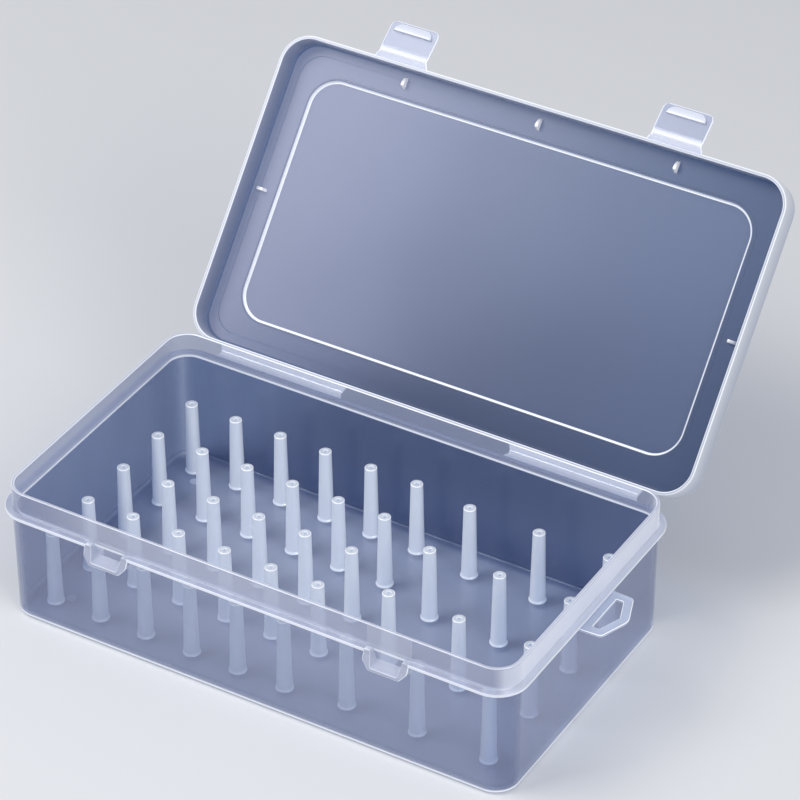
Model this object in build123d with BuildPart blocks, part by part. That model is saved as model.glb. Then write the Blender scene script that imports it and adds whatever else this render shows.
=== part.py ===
from build123d import *
import math
import os

# A clear box for embroidery thread: a tray of spool pegs, and a hinged lid with two latches.
# Millimetres. X runs along the box towards the hang tab, Y to the back where the hinge is,
# and Z up from the surface under the feet. Everything is drawn with the box shut, and the
# lid and the latches are then swung to where they stand when it is open.

# Tray
tray_length = 222.4
tray_depth = 125.0
tray_height = 59.5
tray_corner_radius = 10.3
wall_thickness = 1.4
wall_draft = 0.62
floor_thickness = 1.6
bottom_edge_radius = 1.0
floor_corner_radius = 1.0
flange_projection = 2.8
flange_thickness = 1.3
lip_height = 9.95

# Feet under the floor
foot_height = 0.8
foot_radius = 2.0
foot_inset_x = 17.2
foot_inset_y = 18.2

# Spool pegs: a close group on the left and a wide group on the right
left_columns = 6
left_rows = 5
right_columns = 3
right_rows = 4
right_column_pitch = 30.8
group_gap = 25.7
left_peg_margin = 13.6
right_peg_margin = 16.5
left_row_margin = 13.0
right_row_margin = 16.1
peg_height = 32.8
peg_top_radius = 2.5
peg_base_radius = 3.2
peg_foot_radius = 3.6
peg_foot_height = 0.9
peg_bore_radius = 0.95
peg_top_chamfer = 0.3

# Hang tab on the right wall
tab_root_half_width = 13.4
tab_half_width = 13.0
tab_shoulder = 11.4
tab_reach = 16.2
tab_root_band = 5.9
tab_ring_width = 3.6
tab_thickness = 1.1
tab_apex_radius = 3.0
tab_corner_radius = 1.2

# Lid
lid_clearance = 1.1
lid_gap = 0.3
lid_headroom = 1.0
skirt_thickness = 1.4
plate_thickness = 1.4
lid_edge_radius = 1.1
panel_margin = 13.7
panel_rise = 1.1
panel_corner_radius = 12.0
rib_length = 5.0
rib_height = 3.0
rib_thickness = 1.3
rib_clearance = 0.2
rib_tip_length = 1.1

# Film hinges between tray and lid
hinge_offset_x = 66.5
hinge_root_width = 59.2
hinge_film_width = 56.8
hinge_reach = 2.6
hinge_bead_radius = 0.45
hinge_web_thickness = 0.25
tray_leaf_gap = 0.6
lid_leaf_gap = 0.8
leaf_thickness = 1.3

# Latches on the lid's front edge, and their catches on the tray
latch_offset_x = 61.5
latch_reach = 3.4
shelf_root_width = 24.2
shelf_film_width = 21.8
film_height = 0.25
latch_bead_radius = 0.4
latch_web_thickness = 0.3
shelf_gap = 1.1
flap_gap = 0.8
flap_width = 22.0
flap_length = 13.0
flap_thickness = 1.2
flap_inner_offset = 0.25
flap_corner_radius = 2.7
pad_half_width = 8.6
pad_height = 1.2
pad_tip_height = 0.4
pad_end_gap = 0.9
catch_half_width = 9.6
catch_foot_half_width = 6.6
catch_reach = 5.0
catch_drop = 6.2
catch_cheek_height = 3.6
catch_front_height = 1.5
catch_root_height = 2.9
window_half_width = 6.8
window_floor_half_width = 5.6
hook_clearance = 0.3

# How the box stands: the lid leans back, and the latches stand a little past its plane
lid_open_angle = 130.1
latch_open_angle = 105.0

# Levels and half sizes that follow from the values above
floor_bottom = foot_height
floor_top = floor_bottom + floor_thickness
lip_top = floor_bottom + tray_height
flange_top = lip_top - lip_height
flange_bottom = flange_top - flange_thickness
wall_x = tray_length / 2
wall_y = tray_depth / 2
flange_edge_y = wall_y + flange_projection
skirt_bottom = flange_top + lid_gap
plate_inner = lip_top + lid_headroom
plate_outer = plate_inner + plate_thickness
lid_wall = lid_clearance + skirt_thickness
lid_x = wall_x + lid_wall
lid_y = wall_y + lid_wall
lid_corner_radius = tray_corner_radius + lid_wall
hinge_y = flange_edge_y + hinge_reach
hinge_z = flange_top + lid_gap / 2
film_y = -(lid_y + latch_reach)
film_z = skirt_bottom + film_height
bar_bottom = flange_bottom - catch_drop
hook_drop = film_z - (bar_bottom - hook_clearance)

LID_SWING = [((0, hinge_y, hinge_z), -lid_open_angle)]
LATCH_SWING = [((0, film_y, film_z), -latch_open_angle)] + LID_SWING


def swung(plane, swings):
    """Carry a plane of the shut box through turns about X, each given as (pivot, degrees)."""
    place = plane.location
    for pivot, angle in swings:
        place = Pos(*pivot) * Rot(X=angle) * Pos(*pivot).inverse() * place
    return Plane(place)


def level(height, swings=(), x=0, y=0):
    """A horizontal plane of the shut box at this height, with its origin at x, y."""
    return swung(Plane(origin=(x, y, height)), swings)


def upright(x, y, z, swings=()):
    """A plane that faces the front: its x is X, its y is Z, and it extrudes forwards."""
    return swung(Plane(origin=(x, y, z), x_dir=(1, 0, 0), z_dir=(0, -1, 0)), swings)


def sideways(x, y, z, swings=()):
    """A plane that faces the left: its x is -Y, its y is Z, and it extrudes to -X."""
    return swung(Plane(origin=(x, y, z), x_dir=(0, -1, 0), z_dir=(-1, 0, 0)), swings)


def write(piece, name):
    """Label one finished piece and write its STEP file."""
    piece.part.label = name
    export_step(piece.part, f"parts/{name}.step")


def spread(first, last, count):
    """Evenly spaced places from first to last."""
    return [first + (last - first) * index / (count - 1) for index in range(count)]


def tray_outside():
    """The outside of the tray's walls and floor as one block, drafted below the flange."""
    with BuildPart() as outside:
        with BuildSketch(level(flange_bottom)):
            RectangleRounded(tray_length, tray_depth, tray_corner_radius)
        extrude(amount=floor_bottom - flange_bottom, taper=wall_draft)
        fillet(outside.faces().sort_by(Axis.Z)[0].edges(), bottom_edge_radius)
        with BuildSketch(level(flange_bottom)):
            RectangleRounded(tray_length, tray_depth, tray_corner_radius)
        extrude(amount=lip_top - flange_bottom)
    return outside


def base_tray(outside):
    """The moulded tray: floor, drafted walls, the flange all round and the lip above it."""
    inner_length = tray_length - 2 * wall_thickness
    inner_depth = tray_depth - 2 * wall_thickness
    inner_radius = tray_corner_radius - wall_thickness
    flange_length = tray_length + 2 * flange_projection
    flange_depth = tray_depth + 2 * flange_projection
    with BuildPart() as inside:
        with BuildSketch(level(flange_bottom)):
            RectangleRounded(inner_length, inner_depth, inner_radius)
        extrude(amount=floor_top - flange_bottom, taper=wall_draft)
        fillet(inside.faces().sort_by(Axis.Z)[0].edges(), floor_corner_radius)
        with BuildSketch(level(flange_bottom)):
            RectangleRounded(inner_length, inner_depth, inner_radius)
        extrude(amount=lip_top - flange_bottom)
    with BuildPart() as tray:
        add(outside.part)
        with BuildSketch(level(flange_bottom)):
            RectangleRounded(flange_length, flange_depth, tray_corner_radius + flange_projection)
            with Locations((-latch_offset_x, -flange_edge_y), (latch_offset_x, -flange_edge_y)):
                Rectangle(2 * catch_half_width, 2 * flange_projection, mode=Mode.SUBTRACT)
        extrude(amount=flange_thickness)
        add(inside.part, mode=Mode.SUBTRACT)
    write(tray, "base_tray")


def tray_feet():
    """Four low round feet moulded under the floor."""
    with BuildPart() as feet:
        with BuildSketch(level(0)):
            with GridLocations(tray_length - 2 * foot_inset_x, tray_depth - 2 * foot_inset_y, 2, 2):
                Circle(foot_radius)
        extrude(amount=foot_height)
    write(feet, "tray_feet")


def spool_peg(name, x, y):
    """One tapered peg with a bore down its middle and a wider foot on the floor."""
    with BuildPart() as peg:
        with BuildSketch(upright(x, y, floor_top)):
            with BuildLine():
                Polyline(
                    (peg_bore_radius, 0),
                    (peg_foot_radius, 0),
                    (peg_base_radius, peg_foot_height),
                    (peg_top_radius, peg_height - peg_top_chamfer),
                    (peg_top_radius - peg_top_chamfer, peg_height),
                    (peg_bore_radius, peg_height),
                    close=True,
                )
            make_face()
        revolve(axis=Axis((x, y, floor_top), (0, 0, 1)))
    write(peg, name)


def spool_pegs():
    """Both groups of pegs, numbered by column from the left and by row from the front."""
    right_last = wall_x - right_peg_margin
    right_first = right_last - (right_columns - 1) * right_column_pitch
    left_xs = spread(left_peg_margin - wall_x, right_first - group_gap, left_columns)
    left_ys = spread(left_row_margin - wall_y, wall_y - left_row_margin, left_rows)
    right_xs = spread(right_first, right_last, right_columns)
    right_ys = spread(right_row_margin - wall_y, wall_y - right_row_margin, right_rows)
    for side, xs, ys in (("left", left_xs, left_ys), ("right", right_xs, right_ys)):
        for column, x in enumerate(xs, 1):
            for row, y in enumerate(ys, 1):
                spool_peg(f"{side}_peg_{column}_{row}", x, y)


def hang_tab(outside):
    """The flat five-sided ring on the right wall, just under the flange."""
    hole_half_width = tab_half_width - tab_ring_width
    slope = (tab_reach - tab_shoulder) / tab_half_width
    hole_apex = tab_reach - tab_ring_width * math.hypot(1, slope)
    hole_shoulder = hole_apex - slope * hole_half_width
    with BuildPart() as tab:
        with BuildSketch(level(flange_bottom, x=wall_x)) as ring:
            with BuildLine():
                Polyline(
                    (-wall_thickness, tab_root_half_width),
                    (tab_shoulder, tab_half_width),
                    (tab_reach, 0),
                    (tab_shoulder, -tab_half_width),
                    (-wall_thickness, -tab_root_half_width),
                    close=True,
                )
            make_face()
            fillet(ring.vertices().sort_by(Axis.X)[-1], tab_apex_radius)
            fillet(ring.vertices().group_by(Axis.Y)[0].sort_by(Axis.X)[-1], tab_corner_radius)
            fillet(ring.vertices().group_by(Axis.Y)[-1].sort_by(Axis.X)[-1], tab_corner_radius)
            with BuildLine():
                Polyline(
                    (tab_root_band, hole_half_width),
                    (hole_shoulder, hole_half_width),
                    (hole_apex, 0),
                    (hole_shoulder, -hole_half_width),
                    (tab_root_band, -hole_half_width),
                    close=True,
                )
            make_face(mode=Mode.SUBTRACT)
        extrude(amount=-tab_thickness)
        add(outside.part, mode=Mode.SUBTRACT)
    write(tab, "hang_tab")


def catch_window(x):
    """The gap between a catch's cheeks, whose floor is the bar's sloping top."""
    window_floor = bar_bottom + catch_front_height
    window_root = bar_bottom + catch_root_height
    with BuildPart() as window:
        with BuildSketch(upright(x, 0, 0)):
            with BuildLine():
                Polyline(
                    (-window_half_width, flange_top),
                    (-window_floor_half_width, window_floor),
                    (window_floor_half_width, window_floor),
                    (window_half_width, flange_top),
                    close=True,
                )
            make_face()
        extrude(amount=wall_y + catch_reach)
        with BuildSketch(sideways(x, -wall_y, 0)):
            with BuildLine():
                Polyline(
                    (-wall_thickness, window_root),
                    (0, window_root),
                    (catch_reach, window_floor),
                    (catch_reach, flange_top),
                    (-wall_thickness, flange_top),
                    close=True,
                )
            make_face()
        extrude(amount=window_half_width, both=True, mode=Mode.INTERSECT)
    return window


def latch_catch(outside, name, x):
    """A bar that two cheeks hold below the flange, with bare wall in the window between."""
    cheek_bottom = bar_bottom + catch_cheek_height
    window = catch_window(x)
    with BuildPart() as catch:
        with BuildSketch(upright(x, 0, 0)):
            with BuildLine():
                Polyline(
                    (-catch_half_width, flange_top),
                    (-catch_half_width, cheek_bottom),
                    (-catch_foot_half_width, bar_bottom),
                    (catch_foot_half_width, bar_bottom),
                    (catch_half_width, cheek_bottom),
                    (catch_half_width, flange_top),
                    close=True,
                )
            make_face()
        extrude(amount=wall_y + catch_reach)
        with BuildSketch(sideways(x, -wall_y, 0)):
            with BuildLine():
                Polyline(
                    (-wall_thickness, flange_top),
                    (flange_projection, flange_top),
                    (flange_projection, flange_bottom),
                    (catch_reach, bar_bottom + catch_front_height),
                    (catch_reach, bar_bottom),
                    (-wall_thickness, bar_bottom),
                    close=True,
                )
            make_face()
        extrude(amount=catch_half_width, both=True, mode=Mode.INTERSECT)
        add(window.part, mode=Mode.SUBTRACT)
        add(outside.part, mode=Mode.SUBTRACT)
    write(catch, name)


def tray_hinge_leaf(name, x):
    """The tray's half of a film hinge: a tapered leaf, a thin web and the bend line's bead."""
    leaf_end = hinge_reach - tray_leaf_gap
    end_width = hinge_root_width + (hinge_film_width - hinge_root_width) * leaf_end / hinge_reach
    plane = level(flange_top, x=x, y=flange_edge_y)
    with BuildPart() as leaf:
        with BuildSketch(plane):
            with BuildLine():
                Polyline(
                    (-hinge_root_width / 2, 0),
                    (hinge_root_width / 2, 0),
                    (end_width / 2, leaf_end),
                    (-end_width / 2, leaf_end),
                    close=True,
                )
            make_face()
        extrude(amount=-flange_thickness)
        with BuildSketch(plane):
            with Locations((0, (leaf_end + hinge_reach) / 2)):
                Rectangle(hinge_film_width, tray_leaf_gap)
        extrude(amount=-hinge_web_thickness)
        with BuildSketch(sideways(x, hinge_y, hinge_z)):
            Circle(hinge_bead_radius)
        extrude(amount=hinge_film_width / 2, both=True)
    write(leaf, name)


def lid_hinge_leaf(name, x):
    """The lid's half of a film hinge, on the skirt's free edge."""
    leaf_root = hinge_y - lid_y
    leaf_end = leaf_root - lid_leaf_gap
    end_width = hinge_root_width + (hinge_film_width - hinge_root_width) * leaf_end / leaf_root
    with BuildPart() as leaf:
        with BuildSketch(level(skirt_bottom, LID_SWING, x, lid_y)):
            with BuildLine():
                Polyline(
                    (-hinge_root_width / 2, 0),
                    (hinge_root_width / 2, 0),
                    (end_width / 2, leaf_end),
                    (-end_width / 2, leaf_end),
                    close=True,
                )
            make_face()
        extrude(amount=leaf_thickness)
    write(leaf, name)


def lid_shell():
    """The lid: a plate with a raised panel, and the skirt that goes round the tray's lip."""
    panel_length = 2 * (lid_x - panel_margin)
    panel_depth = 2 * (lid_y - panel_margin)
    step = 2 * plate_thickness
    with BuildPart() as lid:
        with BuildSketch(level(skirt_bottom, LID_SWING)):
            RectangleRounded(2 * lid_x, 2 * lid_y, lid_corner_radius)
        extrude(amount=plate_outer - skirt_bottom)
        outer_plane = level(plate_outer, LID_SWING)
        outer_face = lid.faces().sort_by(Axis(outer_plane.origin, outer_plane.z_dir))[-1]
        fillet(outer_face.edges(), lid_edge_radius)
        with BuildSketch(outer_plane):
            RectangleRounded(panel_length + step, panel_depth + step, panel_corner_radius + step / 2)
        extrude(amount=panel_rise)
        with BuildSketch(level(skirt_bottom, LID_SWING)):
            RectangleRounded(
                2 * (lid_x - skirt_thickness),
                2 * (lid_y - skirt_thickness),
                lid_corner_radius - skirt_thickness,
            )
        extrude(amount=plate_inner - skirt_bottom, mode=Mode.SUBTRACT)
        with BuildSketch(level(plate_inner, LID_SWING)):
            RectangleRounded(panel_length, panel_depth, panel_corner_radius)
        extrude(amount=panel_rise, mode=Mode.SUBTRACT)
    write(lid, "lid_shell")


def rounded_corner(start, end):
    """Draw a quarter round that leaves start along y and reaches end along x."""
    turn = math.sqrt(0.5)
    middle = (end[0] + (start[0] - end[0]) * turn, start[1] + (end[1] - start[1]) * turn)
    ThreePointArc(start, middle, end)


def lid_ribs():
    """Five small half-round ribs under the plate that guide the lid round the tray's lip."""
    lip_inner_x = wall_x - wall_thickness - rib_clearance
    lip_inner_y = wall_y - wall_thickness - rib_clearance
    crest = (rib_length - rib_tip_length, -rib_height)
    planes = []
    for x in (-latch_offset_x, 0, latch_offset_x):
        planes.append(Plane(origin=(x, -lip_inner_y, plate_inner), x_dir=(0, 1, 0), z_dir=(1, 0, 0)))
    for side in (-1, 1):
        root = (side * lip_inner_x, 0, plate_inner)
        planes.append(Plane(origin=root, x_dir=(-side, 0, 0), z_dir=(0, side, 0)))
    with BuildPart() as ribs:
        for plane in planes:
            with BuildSketch(swung(plane, LID_SWING)):
                with BuildLine():
                    rounded_corner((0, 0), crest)
                    Line(crest, (rib_length, 0))
                    Line((rib_length, 0), (0, 0))
                make_face()
            extrude(amount=rib_thickness / 2, both=True)
    write(ribs, "lid_ribs")


def latch_shelf(name, x):
    """The shelf on the skirt's free edge that carries a latch, with its web and bead."""
    shelf_end = latch_reach - shelf_gap
    end_width = shelf_root_width + (shelf_film_width - shelf_root_width) * shelf_end / latch_reach
    web_bottom = film_z - latch_web_thickness / 2
    with BuildPart() as shelf:
        with BuildSketch(level(skirt_bottom, LID_SWING, x, -lid_y)):
            with BuildLine():
                Polyline(
                    (-shelf_root_width / 2, 0),
                    (shelf_root_width / 2, 0),
                    (end_width / 2, -shelf_end),
                    (-end_width / 2, -shelf_end),
                    close=True,
                )
            make_face()
        extrude(amount=leaf_thickness)
        with BuildSketch(level(web_bottom, LID_SWING, x, -lid_y)):
            with Locations((0, -(shelf_end + latch_reach) / 2)):
                Rectangle(shelf_film_width, shelf_gap)
        extrude(amount=latch_web_thickness)
        with BuildSketch(sideways(x, film_y, film_z, LID_SWING)):
            Circle(latch_bead_radius)
        extrude(amount=shelf_film_width / 2, both=True)
    write(shelf, name)


def latch_flap(name, x):
    """The swinging flap, and on its inner face the ramped pad that hooks under the bar."""
    pad_top = -hook_drop
    pad_end = pad_end_gap - flap_length
    pad_round = pad_top - pad_end
    inner_face = upright(x, film_y + flap_inner_offset, film_z, LATCH_SWING)
    with BuildPart() as pad:
        with BuildSketch(inner_face):
            with BuildLine():
                Line((-pad_half_width, pad_top), (pad_half_width, pad_top))
                Line((pad_round - pad_half_width, pad_end), (pad_half_width - pad_round, pad_end))
                rounded_corner((-pad_half_width, pad_top), (pad_round - pad_half_width, pad_end))
                rounded_corner((pad_half_width, pad_top), (pad_half_width - pad_round, pad_end))
            make_face()
        extrude(amount=-pad_height)
        with BuildSketch(sideways(x, film_y + flap_inner_offset, film_z, LATCH_SWING)):
            with BuildLine():
                Polyline(
                    (0, pad_top),
                    (-pad_height, pad_top),
                    (-pad_tip_height, pad_end),
                    (0, pad_end),
                    close=True,
                )
            make_face()
        extrude(amount=pad_half_width, both=True, mode=Mode.INTERSECT)
    with BuildPart() as flap:
        with BuildSketch(inner_face) as outline:
            with Locations((0, -(flap_gap + flap_length) / 2)):
                Rectangle(flap_width, flap_length - flap_gap)
            fillet(outline.vertices().group_by(Axis.Y)[0], flap_corner_radius)
        extrude(amount=flap_thickness)
        add(pad.part)
    write(flap, name)


def main():
    """Write every piece of the box."""
    os.makedirs("parts", exist_ok=True)
    outside = tray_outside()
    base_tray(outside)
    tray_feet()
    spool_pegs()
    hang_tab(outside)
    lid_shell()
    lid_ribs()
    for side, sign in (("left", -1), ("right", 1)):
        latch_catch(outside, f"latch_catch_{side}", sign * latch_offset_x)
        tray_hinge_leaf(f"tray_hinge_leaf_{side}", sign * hinge_offset_x)
        lid_hinge_leaf(f"lid_hinge_leaf_{side}", sign * hinge_offset_x)
        latch_shelf(f"latch_shelf_{side}", sign * latch_offset_x)
        latch_flap(f"latch_flap_{side}", sign * latch_offset_x)


main()
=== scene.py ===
"""Looks of a clear box for embroidery thread: a pegged tray, a hinged lid and two latches.

Sizes are in millimetres as the box stands shut, and turn into metres in the meshes. X runs
along the box to the hang tab, Y to the back where the lid is hinged, Z up from its feet.
"""

import logging
import math
from dataclasses import dataclass, field
from enum import Enum

import bmesh
import bpy
import numpy as np
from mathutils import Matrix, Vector
from numpy.typing import NDArray


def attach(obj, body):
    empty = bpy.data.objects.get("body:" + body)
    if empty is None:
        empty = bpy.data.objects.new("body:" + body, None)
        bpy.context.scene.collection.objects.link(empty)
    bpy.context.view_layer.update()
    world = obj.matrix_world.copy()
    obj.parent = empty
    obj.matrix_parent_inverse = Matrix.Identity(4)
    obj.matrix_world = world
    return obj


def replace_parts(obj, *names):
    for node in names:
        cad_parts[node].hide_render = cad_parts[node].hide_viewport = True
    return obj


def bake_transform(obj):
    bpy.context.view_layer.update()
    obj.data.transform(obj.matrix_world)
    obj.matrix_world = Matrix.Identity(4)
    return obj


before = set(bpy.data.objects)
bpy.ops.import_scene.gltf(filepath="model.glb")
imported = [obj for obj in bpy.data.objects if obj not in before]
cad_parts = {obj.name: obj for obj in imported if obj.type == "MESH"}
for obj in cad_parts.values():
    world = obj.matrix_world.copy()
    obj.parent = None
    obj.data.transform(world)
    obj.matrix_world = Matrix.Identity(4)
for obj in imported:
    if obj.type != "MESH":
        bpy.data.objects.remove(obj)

Array = NDArray[np.float64]
Colour = tuple[float, float, float]
Point = tuple[float, float, float]
log = logging.getLogger("thread_box")
MM = 0.001
GUARD = 0.12
RING_CORNER_STEPS = 14
EASED_STEPS = 4


class Body(Enum):
    """The moving bodies that a piece can ride on."""

    TRAY = "tray"
    LID = "lid"
    LATCH_LEFT = "latch_left"
    LATCH_RIGHT = "latch_right"


class Slot(Enum):
    """The record's material slots."""

    TRAY = "tray_plastic"
    PEG = "peg_plastic"
    LID = "lid_plastic"
    LATCH = "latch_plastic"


class Side(Enum):
    """Left or right half of the box, as the sign of X."""

    LEFT = -1
    RIGHT = 1

    @property
    def word(self) -> str:
        """The side's name as the pieces carry it."""
        return self.name.lower()


# -------- shapes


def ramp(value: Array, start: float, end: float) -> Array:
    """Rise evenly from 0 at start to 1 at end, and stay level outside them."""
    return np.clip((value - start) / (end - start), 0, 1)


def unit(vectors: Array) -> Array:
    """The same directions with a length of 1."""
    return vectors / np.linalg.norm(vectors, axis=-1, keepdims=True)


def turned(points: Array, pivot: tuple[float, float], degrees: float) -> Array:
    """Turn points about a line along X.

    y' = py + dy cos a - dz sin a and z' = pz + dy sin a + dz cos a.

    Args:
        points: Points with x, y, z or y, z in the last axis.
        pivot: The line's y and z.
        degrees: The angle a, positive from Y towards Z.

    Returns:
        The turned points.
    """
    angle = math.radians(degrees)
    dy, dz = points[..., -2] - pivot[0], points[..., -1] - pivot[1]
    y = pivot[0] + dy * math.cos(angle) - dz * math.sin(angle)
    z = pivot[1] + dy * math.sin(angle) + dz * math.cos(angle)
    return np.concatenate([points[..., :-2], np.stack([y, z], axis=-1)], axis=-1)


def rounded_line(corners: list[tuple[float, ...]], steps: int = 5) -> Array:
    """Round the corners of an open line of profile points.

    A corner of radius r between directions a and b, which meet at an angle t, becomes the arc
    c + r (cos, sin) from r / tan(t / 2) before the corner to as far after it. A point up to
    GUARD out from each end of the arc keeps the flat beside it flat when it is shaded.

    Args:
        corners: (u, v, radius, whiteness, whiteness of the flat before it, and of the flat
            after it) for each corner; a radius of 0 keeps it as it is.
        steps: Segments in a quarter turn.

    Returns:
        Rows of (u, v, whiteness).
    """
    data = np.array([(*corner, 0.0, 0.0)[:6] for corner in corners], float)
    rows: list[Array] = []
    for index, (u, v, radius, white, before_white, after_white) in enumerate(data):
        here = np.array([u, v])
        if radius <= 0 or index in (0, len(data) - 1):
            rows.append(np.array([[u, v, white]]))
            continue
        back = data[index - 1, :2] - here
        ahead = data[index + 1, :2] - here
        back_length, ahead_length = np.hypot(*back), np.hypot(*ahead)
        back, ahead = back / back_length, ahead / ahead_length
        half = 0.5 * math.acos(float(np.clip(back @ ahead, -1, 1)))
        reach = radius / math.tan(half)
        centre = here + unit(back + ahead) * radius / math.sin(half)
        first, last = here + back * reach - centre, here + ahead * reach - centre
        turn = math.pi - 2 * half
        count = max(2, round(steps * turn / (math.pi / 2)))
        share = np.linspace(0, 1, count + 1)[:, None]
        arc = (np.sin((1 - share) * turn) * first + np.sin(share * turn) * last) / math.sin(turn)
        before = here + back * min(reach + GUARD, (reach + back_length) / 2)
        after = here + ahead * min(reach + GUARD, (reach + ahead_length) / 2)
        rise = np.sin(np.pi * share[:, 0]) ** 0.5
        flat = before_white + (after_white - before_white) * share[:, 0]
        rows.append(np.array([[*before, before_white]]))
        rows.append(np.column_stack([centre + arc, flat + (white - flat) * rise]))
        rows.append(np.array([[*after, after_white]]))
    return np.concatenate(rows)


def loop_round(sizes: Array, marks: Array) -> tuple[Array, Array]:
    """Points round rounded rectangles, one ring for each column of sizes.

    A corner's points are c + r (cos t, sin t); a side runs straight between two corners, with
    points at the given shares of its half length.

    Args:
        sizes: Half length, half depth and corner radius, with a column for each ring.
        marks: Shares of the front and back sides' half length, rising from -1 to 1.

    Returns:
        x and y, each with rings as rows and places along the ring as columns.
    """
    half_x, half_y, r = sizes[..., None]
    core_x, core_y = half_x - r, half_y - r
    sweep = np.linspace(0, np.pi / 2, RING_CORNER_STEPS + 1)[None, :]
    short = np.array([-0.985, 0.0, 0.985])[None, :]
    along = marks[None, :]
    xs, ys = [], []
    for quarter, (sx, sy) in enumerate(((1, -1), (1, 1), (-1, 1), (-1, -1))):
        angle = sweep + (quarter - 1) * np.pi / 2
        xs.append(sx * core_x + r * np.cos(angle))
        ys.append(sy * core_y + r * np.sin(angle))
        if quarter in (0, 2):
            xs.append(sx * (core_x + r) + 0 * short)
            ys.append(sx * core_y * short)
        else:
            xs.append(-sy * core_x * along)
            ys.append(sy * (core_y + r) + 0 * along)
    return np.concatenate(xs, axis=1), np.concatenate(ys, axis=1)


def placed(name: str, data: bpy.types.ID) -> bpy.types.Object:
    """Put a mesh, a lamp or a camera into the scene, at the origin."""
    thing = bpy.data.objects.new(name, data)
    bpy.context.scene.collection.objects.link(thing)
    return thing


def surface(
    name: str, rings: Array, white: Array, deep: Array | None = None, joined: bool = False
) -> bpy.types.Object:
    """Make a closed mesh from rings of points, in millimetres.

    Face (i, j) has the corners (i, j), (i, j+1), (i+1, j+1), (i+1, j); the rings close on
    themselves. The signed volume, the sum of a . (b x c) / 6 over the faces' triangles, says
    which way round they point, and a negative one turns them.

    Args:
        name: The piece's name.
        rings: Points with the shape (rings, places, 3).
        white: Edge whiteness, 0 to 1, for each point or ring: milky edges and painted highlights.
        deep: Painted shade from 0 to 1 for each point or each ring.
        joined: Join the last ring to the first instead of closing both with a flat face.

    Returns:
        The new object, at the origin.
    """
    count, places = rings.shape[:2]
    grid = np.arange(count * places).reshape(count, places)
    if joined:
        grid = np.vstack([grid, grid[:1]])
    beside = np.roll(grid, -1, axis=1)
    quads = np.stack([grid[:-1], beside[:-1], beside[1:], grid[1:]], axis=-1).reshape(-1, 4)
    points = rings.reshape(-1, 3)
    centre = points.mean(axis=0)
    a, b, c, d = (points[quads[:, k]] - centre for k in range(4))
    volume = np.einsum("ij,ij->", a, np.cross(b, c) + np.cross(c, d))
    faces = quads.tolist()
    if not joined:
        for end in (grid[0][::-1], grid[-1]):
            ring = points[end] - centre
            volume += np.einsum("j,ij->", ring[0], np.cross(ring[1:-1], ring[2:]))
            faces.append(end.tolist())
    if volume < 0:
        faces = [face[::-1] for face in faces]
    mesh = bpy.data.meshes.new(name)
    mesh.from_pydata((points * MM).tolist(), [], faces)
    mesh.polygons.foreach_set("use_smooth", np.ones(len(faces), bool))
    for key, values in (("edge", white), ("deep", np.zeros(count) if deep is None else deep)):
        mark = mesh.attributes.new(key, "FLOAT", "POINT")
        full = np.broadcast_to(values.reshape(count, -1), (count, places))
        mark.data.foreach_set("value", full.astype(np.float32).ravel())
    mesh.set_sharp_from_angle(angle=math.radians(40))
    mesh.validate()
    mesh.update()
    return placed(name, mesh)


def revolved(name: str, outline: Array, axis: tuple[float, float], steps: int) -> bpy.types.Object:
    """Turn a closed outline about an upright axis: (r cos t + x, r sin t + y, z).

    Args:
        name: The piece's name.
        outline: Rows of (radius, height, whiteness, painted shade) round the outline.
        axis: The axis's x and y.
        steps: Segments round the axis.

    Returns:
        The new object.
    """
    turn = np.linspace(0, 2 * np.pi, steps, endpoint=False)
    radius, height, white, deep = outline.T[..., None]
    x, y = axis[0] + radius * np.cos(turn), axis[1] + radius * np.sin(turn)
    return surface(name, np.stack([x, y, height + 0 * turn], axis=-1), white, deep, joined=True)


def merged(name: str, pieces: list[bpy.types.Object]) -> bpy.types.Object:
    """Join the meshes of pieces at the origin into one object of this name."""
    form = bmesh.new()
    for piece in pieces:
        old = piece.data
        form.from_mesh(old)
        bpy.data.objects.remove(piece)
        bpy.data.meshes.remove(old)
    mesh = bpy.data.meshes.new(name)
    form.to_mesh(mesh)
    form.free()
    return placed(name, mesh)


def eased(corners: Array, reach: Array) -> Array:
    """Round the corners of lines of points, each with EASED_STEPS segments.

    A corner C becomes the curve (1-t)^2 P + 2 t (1-t) C + t^2 Q, where P and Q lie its reach
    away from it towards its neighbours. Lines close on themselves unless their ends keep 0.

    Args:
        corners: Points with the shape (corners, lines, 3).
        reach: A reach for each corner, or for each corner and line; 0 keeps a corner.

    Returns:
        The denser lines, with the shape (points, lines, 3).
    """
    rows = []
    t = np.linspace(0, 1, EASED_STEPS + 1)[:, None, None]
    for index, here in enumerate(corners):
        size = np.atleast_1d(reach[index])
        if not np.any(size > 0):
            rows.append(here[None])
            continue
        back, ahead = corners[index - 1] - here, corners[(index + 1) % len(corners)] - here
        first, last = here + unit(back) * size[:, None], here + unit(ahead) * size[:, None]
        rows.append((1 - t) ** 2 * first + 2 * t * (1 - t) * here + t**2 * last)
    return np.concatenate(rows)


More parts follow.
